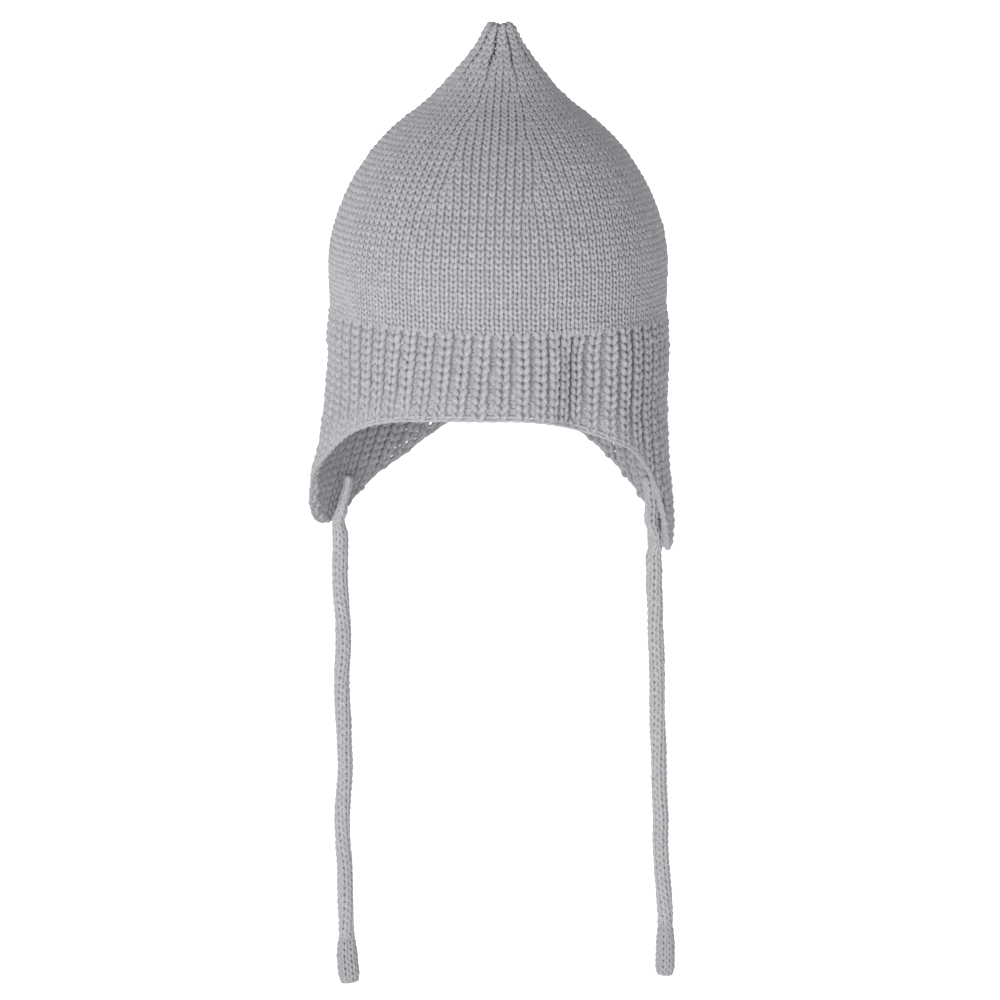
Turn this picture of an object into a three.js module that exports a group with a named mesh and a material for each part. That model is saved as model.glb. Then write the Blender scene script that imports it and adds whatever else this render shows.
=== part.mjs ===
// A toddler's knitted hat: a pointed stockinette crown, a ribbed band that runs down into two ear
// flaps, and two knitted ties that hang from the flaps and end in wider knitted tabs.
// Millimetres, +Z up. The face looks along -Y and the wearer's left is +X. The origin is on the
// hat's axis, level with the join of crown and band, where the hat grips the head.
import * as THREE from 'three';

// Knitted walls: plain knitting for the crown, thick rib for the band.
const CROWN_WALL = 2.8;
const RIB_WALL = 4.2;
const RIBS = 58;
const RIB_RELIEF = 0.8;
const GAP = 0.3;

// The hat is stretched over a head that is longer than it is wide.
const HEAD_DEPTH_RATIO = 1.2;

// Crown and band meet at height 0 in front and behind, and a little lower on the wearer's left.
const JOIN_TILT = 1.5;

// The crown from the join up: half its width, and its depth as a share of its width.
const CROWN = [
  { height: -4, halfWidth: 71.5, depthRatio: HEAD_DEPTH_RATIO },
  { height: 5, halfWidth: 71.5, depthRatio: HEAD_DEPTH_RATIO },
  { height: 15, halfWidth: 72, depthRatio: HEAD_DEPTH_RATIO },
  { height: 25, halfWidth: 71.5, depthRatio: HEAD_DEPTH_RATIO },
  { height: 35, halfWidth: 69.5, depthRatio: 1.19 },
  { height: 45, halfWidth: 66, depthRatio: 1.17 },
  { height: 55, halfWidth: 61, depthRatio: 1.16 },
  { height: 65, halfWidth: 54.5, depthRatio: 1.14 },
  { height: 73, halfWidth: 47.5, depthRatio: 1.12 },
  { height: 80, halfWidth: 39.5, depthRatio: 1.11 },
  { height: 87, halfWidth: 30.5, depthRatio: 1.1 },
  { height: 94, halfWidth: 23.5, depthRatio: 1.08 },
  { height: 100, halfWidth: 18.5, depthRatio: 1.06 },
  { height: 105, halfWidth: 14.5, depthRatio: 1.04 },
  { height: 109, halfWidth: 11.5, depthRatio: 1.0 },
  { height: 113, halfWidth: 9.0, depthRatio: 1.0 },
  { height: 116, halfWidth: 7.5, depthRatio: 1.0 },
  { height: 118.6, halfWidth: 6.0, depthRatio: 1.0 },
];
// The last stitches are drawn together, which leaves a small crater at the very top.
const TIP = { rimHeight: 119.7, rimRadius: 4.3, craterHeight: 118.3 };
const CROWN_HOLLOW_TOP = 112.5;

// The band from the join down: its half width on the wearer's right and left.
const BAND = [
  { height: 4, right: 71.5, left: 70.5 },
  { height: -5, right: 72.5, left: 72 },
  { height: -12, right: 73, left: 72.5 },
  { height: -24, right: 73, left: 72.5 },
  { height: -36, right: 74, left: 72 },
  { height: -48, right: 75.5, left: 72 },
  { height: -58, right: 77, left: 72.5 },
  { height: -68, right: 79.8, left: 73 },
  { height: -78, right: 82.3, left: 74 },
  { height: -88, right: 85.6, left: 75 },
  { height: -98, right: 87.2, left: 75 },
  { height: -108, right: 88.4, left: 74 },
];
const BAND_HALF_DEPTH = 71.5 * HEAD_DEPTH_RATIO;

// The lower edge all the way round, from the back over the wearer's right flap, the brow and the
// left flap to the back again. Angles are degrees from the front. The left flap hangs lower.
const HEM = [
  { angle: -180, height: -56 },
  { angle: -165, height: -58 },
  { angle: -156, height: -62.5 },
  { angle: -147, height: -70 },
  { angle: -139, height: -77.5 },
  { angle: -133, height: -81.7 },
  { angle: -128, height: -87.4 },
  { angle: -121, height: -95.5 },
  { angle: -114, height: -100.8 },
  { angle: -108, height: -100.6 },
  { angle: -102, height: -96 },
  { angle: -97, height: -88 },
  { angle: -91, height: -80.5 },
  { angle: -82, height: -74 },
  { angle: -75, height: -68.7 },
  { angle: -68, height: -62.8 },
  { angle: -60, height: -56.2 },
  { angle: -52, height: -50 },
  { angle: -43, height: -44.8 },
  { angle: -33, height: -41.2 },
  { angle: -17, height: -38.8 },
  { angle: 0, height: -38 },
  { angle: 18, height: -38.6 },
  { angle: 28, height: -40.7 },
  { angle: 38, height: -44.5 },
  { angle: 49, height: -50 },
  { angle: 58, height: -55.2 },
  { angle: 65, height: -62.4 },
  { angle: 72, height: -71.6 },
  { angle: 77, height: -82.8 },
  { angle: 81, height: -93.5 },
  { angle: 86, height: -102 },
  { angle: 94, height: -105.5 },
  { angle: 102, height: -105.5 },
  { angle: 107, height: -103.8 },
  { angle: 113, height: -100.3 },
  { angle: 120, height: -97 },
  { angle: 128, height: -92 },
  { angle: 133, height: -87.3 },
  { angle: 139, height: -81.5 },
  { angle: 146, height: -75 },
  { angle: 154, height: -68.3 },
  { angle: 163, height: -62 },
  { angle: 172, height: -57.5 },
  { angle: 180, height: -56 },
];

// One upright crease in the band. Its ribs crowd together round one angle, and the band falls back
// from the crease's near edge to its bottom and comes forward again to its far edge.
const CREASE = {
  angle: 27, halfAngle: 8, nearEdge: 23, bottom: 36, farEdge: 52, depth: 5, fadeFrom: 2, fadeTo: -14,
};

// Ties: knitted tubes that start on the inner face of each flap and hang straight down.
const TIE_DIAMETER = 6.8;
const TIE_SIDES = 10;
const TIE_STEP = 5;
const TIE_RIGHT_ROUTE = [
  [-68.9, 26, -80], [-69.3, 26, -84], [-70.5, 26, -88.5], [-71.7, 26, -93],
  [-72.3, 26, -98], [-72.7, 26.1, -104], [-72.9, 26.2, -114], [-73.1, 26.3, -125],
  [-72.7, 26.3, -135.5], [-71.9, 26.2, -146.5], [-72, 26.1, -157.5], [-72.7, 26, -168],
  [-72.6, 25.9, -179], [-72, 25.9, -190], [-71.7, 26, -201.5], [-71.4, 26.1, -212.5],
  [-72.3, 26.3, -223.5], [-73.1, 26.5, -234.5], [-72.9, 26.6, -245.5], [-72.1, 26.6, -257],
  [-72, 26.5, -268], [-71.8, 26.3, -278.5], [-71.6, 26.2, -285], [-71.4, 26.2, -288.5],
];
const TIE_LEFT_ROUTE = [
  [63.5, 13, -76], [63.7, 13, -79], [64, 13, -82.5], [64.4, 13, -86],
  [64.9, 13, -90.3], [65.2, 13, -95], [65.3, 13, -100], [65.5, 13, -105.2],
  [66, 13, -111], [66.4, 13.1, -116.7], [66.3, 13.3, -122], [66.9, 13.3, -131],
  [67.1, 13.2, -141], [67.7, 13, -151.5], [68, 12.8, -162], [68.1, 12.7, -172.5],
  [68.3, 12.6, -183], [69, 12.7, -194], [69.3, 12.9, -205], [69.6, 13.1, -216],
  [70.2, 13.3, -226.5], [70.1, 13.4, -237.5], [70.8, 13.3, -248.5], [71.7, 13.1, -259],
  [72.3, 13, -267.5], [72.5, 12.9, -271], [72.5, 12.9, -274],
];

// Each tie ends in a tab: a wider, slightly flattened knitted tube, closed at the bottom. Its
// radius is given along its length, from 0 at the tie to 1 at its foot.
const TAB = [
  { along: 0, radius: 3.3 },
  { along: 0.13, radius: 4.0 },
  { along: 0.32, radius: 4.6 },
  { along: 0.6, radius: 4.8 },
  { along: 0.83, radius: 4.75 },
  { along: 0.94, radius: 4.2 },
  { along: 1, radius: 3.1 },
];
const TAB_RIGHT_LENGTH = 22.5;
const TAB_LEFT_LENGTH = 24.5;
const TAB_FLATNESS = 0.8;
const TAB_SIDES = 14;

const YARN = { color: 0xb3b4ba, roughness: 0.95, metalness: 0 };

const radians = THREE.MathUtils.degToRad;

// A smooth curve through two named columns of a table.
function curveOf(rows, from, to) {
  const ordered = [...rows].sort((a, b) => a[from] - b[from]);
  const places = ordered.map(row => row[from]);
  const curve = new THREE.CubicInterpolant(places, ordered.map(row => row[to]), 1);
  return place => curve.evaluate(THREE.MathUtils.clamp(place, places[0], places.at(-1)))[0];
}

const crownHalfWidth = curveOf(CROWN, 'height', 'halfWidth');
const crownDepthRatio = curveOf(CROWN, 'height', 'depthRatio');
const bandRight = curveOf(BAND, 'height', 'right');
const bandLeft = curveOf(BAND, 'height', 'left');
const hemHeight = curveOf(HEM, 'angle', 'height');

// The height of the line where crown and band meet.
const joinHeight = angle => -JOIN_TILT * Math.sin(radians(angle));

function crownSurface(angle, height) {
  const halfWidth = crownHalfWidth(height);
  const turn = radians(angle);
  return new THREE.Vector3(
    halfWidth * Math.sin(turn), -halfWidth * crownDepthRatio(height) * Math.cos(turn), height);
}

function bandSurface(angle, height) {
  const turn = radians(angle);
  const leftShare = (1 + Math.sin(turn)) / 2;
  const halfWidth = THREE.MathUtils.lerp(bandRight(height), bandLeft(height), leftShare);
  const fall = angle < CREASE.bottom
    ? THREE.MathUtils.smoothstep(angle, CREASE.nearEdge, CREASE.bottom)
    : 1 - THREE.MathUtils.smoothstep(angle, CREASE.bottom, CREASE.farEdge);
  const sunk = CREASE.depth * fall
    * THREE.MathUtils.smoothstep(-height, -CREASE.fadeFrom, -CREASE.fadeTo);
  return new THREE.Vector3(
    (halfWidth - sunk) * Math.sin(turn), -(BAND_HALF_DEPTH - sunk) * Math.cos(turn), height);
}

// The point that lies a given distance outside a surface, square to it.
function proud(surface, angle, height, distance) {
  const point = surface(angle, height);
  const around = surface(angle + 0.5, height).sub(surface(angle - 0.5, height));
  const upward = surface(angle, height + 0.05).sub(surface(angle, height - 0.05));
  return point.addScaledVector(around.cross(upward).normalize(), distance);
}

// Joins rings of equal length into one closed skin. The rings run from the first to the last with
// the outside on the same hand; a ring of one point closes a top, and without such ends the last
// ring is joined to the first.
function closedSkin(rings) {
  const points = [];
  const starts = [];
  for (const ring of rings) {
    starts.push(points.length);
    points.push(...ring);
  }
  const around = Math.max(...rings.map(ring => ring.length));
  const indices = [];
  const at = (ring, place) => starts[ring] + place % rings[ring].length;
  const looped = rings[0].length > 1;
  const bands = looped ? rings.length : rings.length - 1;
  for (let ring = 0; ring < bands; ring += 1) {
    const next = (ring + 1) % rings.length;
    for (let place = 0; place < around; place += 1) {
      const corners = [at(ring, place), at(ring, place + 1), at(next, place + 1), at(next, place)];
      if (corners[0] !== corners[1]) indices.push(corners[0], corners[1], corners[2]);
      if (corners[2] !== corners[3]) indices.push(corners[0], corners[2], corners[3]);
    }
  }
  const geometry = new THREE.BufferGeometry().setFromPoints(points);
  geometry.setIndex(indices);
  geometry.computeVertexNormals();
  return geometry;
}

function piece(name, geometry) {
  const mesh = new THREE.Mesh(geometry, new THREE.MeshStandardMaterial(YARN));
  mesh.name = name;
  return mesh;
}

// The crown is one shell: up its inside to the closed top of the hollow, and up its outside to the
// gathered tip. Both skins share the bottom edge.
function makeCrown() {
  const columns = 60;
  const foot = GAP / 2;
  const levelFrom = 36;
  const outerHeights = [
    foot, 8, 16, 24, 32, 40, 48, 55, 62, 68, 74, 80, 86, 92, 98, 103, 108, 112, 115.5, 118.6];
  const innerHeights = [foot, 12, 24, 36, 47, 57, 66, 74, 82, 89, 96, 102, 107, 110];
  const angles = Array.from({ length: columns }, (_, column) => (360 * column) / columns);
  const heightAt = (angle, height) =>
    height + joinHeight(angle) * Math.max(0, 1 - height / levelFrom);
  const inside = innerHeights.map(height => angles.map(angle => {
    const point = proud(crownSurface, angle, heightAt(angle, height), -CROWN_WALL);
    return height === foot ? point.setZ(heightAt(angle, foot)) : point;
  }));
  const outside = outerHeights.map(height => angles.map(
    angle => crownSurface(angle, heightAt(angle, height))));
  const rim = angles.map(angle => {
    const point = crownSurface(angle, CROWN.at(-1).height);
    point.multiplyScalar(TIP.rimRadius / CROWN.at(-1).halfWidth);
    return point.setZ(TIP.rimHeight);
  });
  return piece('crown', closedSkin([
    [new THREE.Vector3(0, 0, CROWN_HOLLOW_TOP)],
    ...inside.reverse(),
    ...outside,
    rim,
    [new THREE.Vector3(0, 0, TIP.craterHeight)],
  ]));
}

// Ribs stand at even angles, except that they crowd together at the crease.
function ribAngle(rib) {
  const even = (360 * rib) / RIBS - 180;
  const crowding = 0.33;
  const squeeze = angle => angle
    - crowding * CREASE.halfAngle * Math.tanh((angle - CREASE.angle) / CREASE.halfAngle);
  const low = squeeze(-180);
  const high = squeeze(180);
  return -180 + (360 * (squeeze(even) - low)) / (high - low);
}

// The band is a ring of upright ribs between the join and the hem, with a smooth inside.
function makeBand() {
  const levels = [0, 0.16, 0.34, 0.52, 0.7, 0.86, 1];
  const columns = Array.from({ length: RIBS * 2 }, (_, column) => ({
    angle: ribAngle(column / 2),
    relief: column % 2 === 0 ? RIB_RELIEF : -RIB_RELIEF,
  }));
  const heightAt = (angle, level) => THREE.MathUtils.lerp(
    joinHeight(angle) - GAP / 2, hemHeight(angle), level);
  const flat = (point, height) => point.setZ(height);
  const outside = levels.map(level => columns.map(({ angle, relief }) => {
    const height = heightAt(angle, level);
    return flat(proud(bandSurface, angle, height, relief), height);
  }));
  const inside = levels.map(level => columns.map(({ angle }) => {
    const height = heightAt(angle, level);
    return flat(proud(bandSurface, angle, height, -RIB_WALL), height);
  }));
  return piece('ribbed_band', closedSkin([...inside, ...outside.reverse()]));
}

// A tie is a tube of constant section along its route.
function makeTie(name, route) {
  const line = new THREE.CatmullRomCurve3(route.map(point => new THREE.Vector3(...point)));
  const section = new THREE.Shape(Array.from({ length: TIE_SIDES }, (_, side) => {
    const turn = (2 * Math.PI * side) / TIE_SIDES;
    return new THREE.Vector2(Math.cos(turn), Math.sin(turn)).multiplyScalar(TIE_DIAMETER / 2);
  }));
  const steps = Math.round(line.getLength() / TIE_STEP);
  const geometry = new THREE.ExtrudeGeometry(section, {
    extrudePath: line, steps, curveSegments: 1, bevelEnabled: false });
  return piece(name, geometry);
}

// A tab hangs square from the last stretch of its tie.
function makeTab(name, route, length) {
  const end = new THREE.Vector3(...route.at(-1));
  const before = new THREE.Vector3(...route.at(-2));
  const along = end.clone().sub(before).normalize();
  const profile = [
    new THREE.Vector2(0, -length),
    ...[...TAB].reverse().map(row => new THREE.Vector2(row.radius, -row.along * length)),
    new THREE.Vector2(0, 0),
  ];
  const tab = piece(name, new THREE.LatheGeometry(profile, TAB_SIDES));
  tab.quaternion.setFromUnitVectors(new THREE.Vector3(0, -1, 0), along);
  tab.scale.z = TAB_FLATNESS;
  tab.position.copy(end).addScaledVector(along, GAP);
  return tab;
}

const hat = new THREE.Group();
hat.add(
  makeCrown(),
  makeBand(),
  makeTie('tie_right', TIE_RIGHT_ROUTE),
  makeTie('tie_left', TIE_LEFT_ROUTE),
  makeTab('tie_tab_right', TIE_RIGHT_ROUTE, TAB_RIGHT_LENGTH),
  makeTab('tie_tab_left', TIE_LEFT_ROUTE, TAB_LEFT_LENGTH),
);
export default hat;
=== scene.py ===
import math

import bpy
import numpy as np
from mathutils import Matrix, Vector


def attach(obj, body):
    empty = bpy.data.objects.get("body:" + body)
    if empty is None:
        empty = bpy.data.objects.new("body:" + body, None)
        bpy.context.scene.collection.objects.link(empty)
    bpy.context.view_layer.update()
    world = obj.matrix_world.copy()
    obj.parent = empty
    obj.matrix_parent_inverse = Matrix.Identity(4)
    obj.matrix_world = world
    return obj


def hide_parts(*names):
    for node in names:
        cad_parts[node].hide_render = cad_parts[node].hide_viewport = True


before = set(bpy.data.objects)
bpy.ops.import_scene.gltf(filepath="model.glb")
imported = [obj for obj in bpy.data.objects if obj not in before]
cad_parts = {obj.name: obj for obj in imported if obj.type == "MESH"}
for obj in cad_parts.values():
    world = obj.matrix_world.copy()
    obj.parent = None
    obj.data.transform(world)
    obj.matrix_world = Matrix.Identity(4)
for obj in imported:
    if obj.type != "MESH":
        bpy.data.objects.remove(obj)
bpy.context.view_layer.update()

# Camera. It stands a metre and a half away, a little to the hat's left side, and looks ten degrees
# down at the middle of the ties. A square frame 430 mm across there fits the whole hat.
CAMERA_DISTANCE = 1.5
CAMERA_AZIMUTH = math.radians(6)
CAMERA_ELEVATION = math.radians(10)
CAMERA_AIM_HEIGHT = -0.0844
CAMERA_SIDESTEP = 0.00065
VIEW_ACROSS = 0.43

camera_data = bpy.data.cameras.new("camera")
camera_data.sensor_fit = "HORIZONTAL"
camera_data.angle = 2 * math.atan(VIEW_ACROSS / 2 / CAMERA_DISTANCE)
camera = bpy.data.objects.new("camera", camera_data)
bpy.context.scene.collection.objects.link(camera)
to_right = Vector((math.cos(CAMERA_AZIMUTH), math.sin(CAMERA_AZIMUTH), 0))
backwards = Vector((math.sin(CAMERA_AZIMUTH), -math.cos(CAMERA_AZIMUTH), 0))
camera.location = CAMERA_DISTANCE * math.cos(CAMERA_ELEVATION) * backwards
camera.location += CAMERA_SIDESTEP * to_right
camera.location.z = CAMERA_AIM_HEIGHT + CAMERA_DISTANCE * math.sin(CAMERA_ELEVATION)
camera.rotation_euler = (math.pi / 2 - CAMERA_ELEVATION, 0, CAMERA_AZIMUTH)
bpy.context.scene.camera = camera

# Ties. Each is a knitted cord of five stitches round, worked downwards, so that its Vs stand on
# their heads. It is sewn to the inner face of a flap and hangs down its route with slight waves.
# Sizes from here on are in millimetres, and a mesh is scaled to metres when it is made.
TO_METRES = 0.001
TIE_DIAMETER = 6.8
TIE_STITCHES = 5
TIE_ROW = 3.1
TIE_YARN = 1.75
# The loops of a course, as loop_path takes them: bend, closeness, height, depth and tuck.
TIE_LOOP = (0.24, 0.04, 0.84, 0.44, 0.15)
# The yarn's middle lies so far inside the tie's outer face, besides half its own thickness.
TIE_INSET = 0.15
TIE_UNEVENNESS = 0.07
# The stitches' columns wander round the tie, up to so many radians at nine places along it.
TIE_TWIST_PLACES = 9
TIE_TWIST = 0.55
TIE_START = -0.5
TIE_PAST_END = 0.4
TIE_SEWN_LENGTH = 18
TIE_SEWN_FADE = 6
TIE_SEWN_FLATNESS = 0.1
TIE_NIP = 0.36
TIE_RIGHT_ROUTE = [
    (-68.9, 26, -80), (-69.3, 26, -84), (-70.5, 26, -88.5), (-71.7, 26, -93),
    (-72.3, 26, -98), (-72.7, 26.1, -104), (-72.9, 26.2, -114), (-73.1, 26.3, -125),
    (-72.7, 26.3, -135.5), (-71.9, 26.2, -146.5), (-72, 26.1, -157.5), (-72.7, 26, -168),
    (-72.6, 25.9, -179), (-72, 25.9, -190), (-71.7, 26, -201.5), (-71.4, 26.1, -212.5),
    (-72.3, 26.3, -223.5), (-73.1, 26.5, -234.5), (-72.9, 26.6, -245.5), (-72.1, 26.6, -257),
    (-72, 26.5, -268), (-71.8, 26.3, -278.5), (-71.6, 26.2, -285), (-71.4, 26.2, -288.5),
]
TIE_LEFT_ROUTE = [
    (63.5, 13, -76), (63.7, 13, -79), (64, 13, -82.5), (64.4, 13, -86),
    (64.9, 13, -90.3), (65.2, 13, -95), (65.3, 13, -100), (65.5, 13, -105.2),
    (66, 13, -111), (66.4, 13.1, -116.7), (66.3, 13.3, -122), (66.9, 13.3, -131),
    (67.1, 13.2, -141), (67.7, 13, -151.5), (68, 12.8, -162), (68.1, 12.7, -172.5),
    (68.3, 12.6, -183), (69, 12.7, -194), (69.3, 12.9, -205), (69.6, 13.1, -216),
    (70.2, 13.3, -226.5), (70.1, 13.4, -237.5), (70.8, 13.3, -248.5), (71.7, 13.1, -259),
    (72.3, 13, -267.5), (72.5, 12.9, -271), (72.5, 12.9, -274),
]


def unit(vectors):
    """The same vectors, one long."""
    return vectors / np.linalg.norm(vectors, axis=-1, keepdims=True)


def reach_of(line):
    """The distance along a line of points, at each of them."""
    return np.concatenate([[0], np.cumsum(np.linalg.norm(np.diff(line, axis=0), axis=1))])


def read_line(wanted, reach, line):
    """Points, or directions, of a line at the wanted distances along it."""
    return np.stack([np.interp(wanted, reach, line[:, axis]) for axis in range(3)], -1)


def eased(share):
    """A share of 0 to 1 that starts and ends gently."""
    return share * share * (3 - 2 * share)


def between_rows(here, over, under, up):
    """A value up rows above its own row, on the curve through it and the rows over and under it."""
    return here + 0.5 * (over - under) * up + 0.5 * (over - 2 * here + under) * up**2


def smooth_through(places, values, wanted):
    """Values of a smooth curve through a table's points, read at the wanted places."""
    places = np.asarray(places, float)
    values = np.asarray(values, float)
    slopes = np.gradient(values, places, axis=0)
    wanted = np.clip(wanted, places[0], places[-1])
    row = np.clip(np.searchsorted(places, wanted, side="right") - 1, 0, len(places) - 2)
    step = places[row + 1] - places[row]
    share = (wanted - places[row]) / step
    if values.ndim > 1:
        share = share[..., None]
        step = step[..., None]
    rest = 1 - share
    return (
        values[row] * (1 + 2 * share) * rest**2
        + slopes[row] * step * share * rest**2
        + values[row + 1] * (1 + 2 * rest) * share**2
        - slopes[row + 1] * step * rest * share**2
    )


def tube_along(centre, outward, radius, closed, sides):
    """A tube of yarn: its corners, its faces, the corner counts of these and texture places."""
    before = np.roll(centre, 1, 0)
    after = np.roll(centre, -1, 0)
    if not closed:
        before[0] = centre[0]
        after[-1] = centre[-1]
    heading = unit(after - before)
    sideways = unit(np.cross(heading, outward))
    upwards = np.cross(sideways, heading)
    turn = 2 * np.pi * np.arange(sides) / sides
    section = np.cos(turn)[:, None] * upwards[:, None] + np.sin(turn)[:, None] * sideways[:, None]
    corners = (centre[:, None] + radius[:, None, None] * section).reshape(-1, 3)
    rings = len(centre)
    ring = np.arange(rings if closed else rings - 1)[:, None]
    side = np.arange(sides)[None, :]
    following = (ring + 1) % rings
    faces = np.stack([
        ring * sides + side,
        ring * sides + (side + 1) % sides,
        following * sides + (side + 1) % sides,
        following * sides + side,
    ], -1).ravel()
    counts = np.full(faces.size // 4, 4)
    steps = np.linalg.norm(np.diff(centre, axis=0, append=centre[:1]), axis=1)
    reach = np.concatenate([[0], np.cumsum(steps)])
    around = np.broadcast_to(side / sides, (len(ring), sides))
    beyond = around + 1 / sides
    low = np.broadcast_to(reach[ring], (len(ring), sides))
    high = np.broadcast_to(reach[ring + 1], (len(ring), sides))
    places = np.stack([
        np.stack([around, low], -1),
        np.stack([beyond, low], -1),
        np.stack([beyond, high], -1),
        np.stack([around, high], -1),
    ], 2).reshape(-1, 2)
    if not closed:
        start_cap = np.arange(sides)[::-1]
        end_cap = np.arange(sides) + (rings - 1) * sides
        faces = np.concatenate([faces, start_cap, end_cap])
        counts = np.append(counts, [sides, sides])
        places = np.concatenate([places, np.zeros((2 * sides, 2))])
    return corners, faces, counts, places


def yarn_piece(name, tubes, material):
    """One mesh of many tubes of yarn."""
    corners = np.concatenate([tube[0] for tube in tubes]) * TO_METRES
    starts = np.cumsum([0] + [len(tube[0]) for tube in tubes[:-1]])
    faces = np.concatenate([tube[1] + start for tube, start in zip(tubes, starts)])
    counts = np.concatenate([tube[2] for tube in tubes])
    places = np.concatenate([tube[3] for tube in tubes])
    mesh = bpy.data.meshes.new(name)
    mesh.vertices.add(len(corners))
    mesh.vertices.foreach_set("co", corners.astype(np.float32).ravel())
    mesh.loops.add(len(faces))
    mesh.loops.foreach_set("vertex_index", faces.astype(np.int32))
    mesh.polygons.add(len(counts))
    face_starts = np.concatenate([[0], np.cumsum(counts)[:-1]])
    mesh.polygons.foreach_set("loop_start", face_starts.astype(np.int32))
    mesh.polygons.foreach_set("use_smooth", np.ones(len(counts), bool))
    mesh.uv_layers.new(name="yarn").data.foreach_set("uv", places.astype(np.float32).ravel())
    mesh.update(calc_edges=True)
    mesh.materials.append(material)
    piece = bpy.data.objects.new(name, mesh)
    bpy.context.scene.collection.objects.link(piece)
    return piece


def colour(hex_value):
    """A hex sRGB colour as linear values."""
    channels = [int(hex_value[place:place + 2], 16) / 255 for place in (1, 3, 5)]
    linear = [c / 12.92 if c <= 0.04045 else ((c + 0.055) / 1.055) ** 2.4 for c in channels]
    return (*linear, 1)


def add_node(tree, kind, settings=None, inputs=None, links=None):
    """A node with its settings, its fixed inputs, and links from other nodes' outputs."""
    node = tree.nodes.new(kind)
    for setting, value in (settings or {}).items():
        setattr(node, setting, value)
    for socket, value in (inputs or {}).items():
        node.inputs[socket].default_value = value
    for socket, source in (links or {}).items():
        tree.links.new(source, node.inputs[socket])
    return node


def compute(tree, operation, *operands):
    """What a mathematical operation makes of numbers and of other nodes' outputs."""
    node = add_node(tree, "ShaderNodeMath", {"operation": operation})
    for number, operand in enumerate(operands):
        if isinstance(operand, bpy.types.NodeSocket):
            tree.links.new(operand, node.inputs[number])
        else:
            node.inputs[number].default_value = operand
    return node.outputs["Value"]


def ranged(tree, source, low, high, at_low, at_high, curve="LINEAR"):
    """The stretch of an output that counts, from low to high, taken to the values at its ends."""
    node = add_node(tree, "ShaderNodeMapRange", {"interpolation_type": curve},
                    {"From Min": low, "From Max": high, "To Min": at_low, "To Max": at_high},
                    {"Value": source})
    return node.outputs["Result"]


# Wool yarn. Its texture places are turns round a strand and millimetres along it.
PLIES = 3
PLY_RELIEF = 0.22
BUMP_STRENGTH = 0.8
BUMP_DISTANCE = 0.00022
# Tufts of fuzz are about 0.7 mm apart and flecks of the melange about 1.6 mm.
FUZZ_PER_METRE = 1400
FLECKS_PER_METRE = 620
# Fibres show as streaks that follow the plies, about ten round a strand and 2 mm long.
FIBRE_SCALE = 1.7
FIBRE_STRETCH = 0.3


def wool_yarn(name, shade, ply_pitch):
    """Matt three-ply wool blend yarn. Its plies wind round it once in ply_pitch mm, and its fibres
    differ a little in tone. Its flanks and its underside are painted darker than its crests, as
    painted shade in the crevices between strands and on the fabric's inner face. The fuzz catches
    light at grazing angles, which the sheen gives."""
    material = bpy.data.materials.new(name)
    material.use_nodes = True
    tree = material.node_tree
    tree.nodes.clear()
    place = add_node(tree, "ShaderNodeUVMap", {"uv_map": "yarn"})
    parts = add_node(tree, "ShaderNodeSeparateXYZ", links={"Vector": place.outputs["UV"]})
    wound = compute(tree, "MULTIPLY_ADD", parts.outputs["Y"], 1 / ply_pitch, parts.outputs["X"])
    angle = compute(tree, "MULTIPLY", wound, 2 * math.pi)
    plies = compute(tree, "SINE", compute(tree, "MULTIPLY", angle, PLIES))
    where = add_node(tree, "ShaderNodeTexCoord")
    fuzz = add_node(tree, "ShaderNodeTexNoise",
                    inputs={"Scale": FUZZ_PER_METRE, "Detail": 3, "Roughness": 0.6},
                    links={"Vector": where.outputs["Object"]})
    relief = compute(tree, "MULTIPLY_ADD", plies, PLY_RELIEF, fuzz.outputs["Fac"])
    bump = add_node(tree, "ShaderNodeBump",
                    inputs={"Strength": BUMP_STRENGTH, "Distance": BUMP_DISTANCE},
                    links={"Height": relief})
    fibre_place = add_node(tree, "ShaderNodeCombineXYZ",
                           links={"X": compute(tree, "COSINE", angle),
                                  "Y": compute(tree, "SINE", angle),
                                  "Z": compute(tree, "MULTIPLY", parts.outputs["Y"],
                                               FIBRE_STRETCH)})
    fibres = add_node(tree, "ShaderNodeTexNoise",
                      inputs={"Scale": FIBRE_SCALE, "Detail": 3, "Roughness": 0.65},
                      links={"Vector": fibre_place.outputs["Vector"]})
    flecks = add_node(tree, "ShaderNodeTexNoise", inputs={"Scale": FLECKS_PER_METRE, "Detail": 3},
                      links={"Vector": where.outputs["Object"]})
    # Round a strand from its outward crest, a wave of two turns is least at both flanks, and one of
    # a single turn is least at the underside. The tones they give are painted shade: darker flanks
    # for the crevices between strands, and a darker underside for the fabric's inner face.
    painted_shade_waves = [compute(tree, "COSINE", compute(tree, "MULTIPLY", parts.outputs["X"], round_it))
             for round_it in (4 * math.pi, 2 * math.pi)]
    tone = 1.0
    for source, *tones in ((painted_shade_waves[0], -1, 1, 0.86, 1.03), (painted_shade_waves[1], -1, 0, 0.82, 1.0),
                           (fibres.outputs["Fac"], 0.3, 0.7, 0.8, 1.12),
                           (flecks.outputs["Fac"], 0.3, 0.7, 0.87, 1.1)):
        tone = compute(tree, "MULTIPLY", tone, ranged(tree, source, *tones))
    tint = add_node(tree, "ShaderNodeMix", {"data_type": "RGBA", "blend_type": "MULTIPLY"},
                    {"Factor": 1.0, "A": colour(shade)}, {"B": tone})
    surface = add_node(tree, "ShaderNodeBsdfPrincipled",
                       inputs={"Roughness": 0.95, "IOR": 1.5, "Specular IOR Level": 0.25,
                               "Sheen Weight": 0.5, "Sheen Roughness": 0.5},
                       links={"Base Color": tint.outputs["Result"],
                              "Normal": bump.outputs["Normal"]})
    add_node(tree, "ShaderNodeOutputMaterial", links={"Surface": surface.outputs["BSDF"]})
    return material


LOOP_SAMPLES = 10
YARN_SIDES = 5


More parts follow.
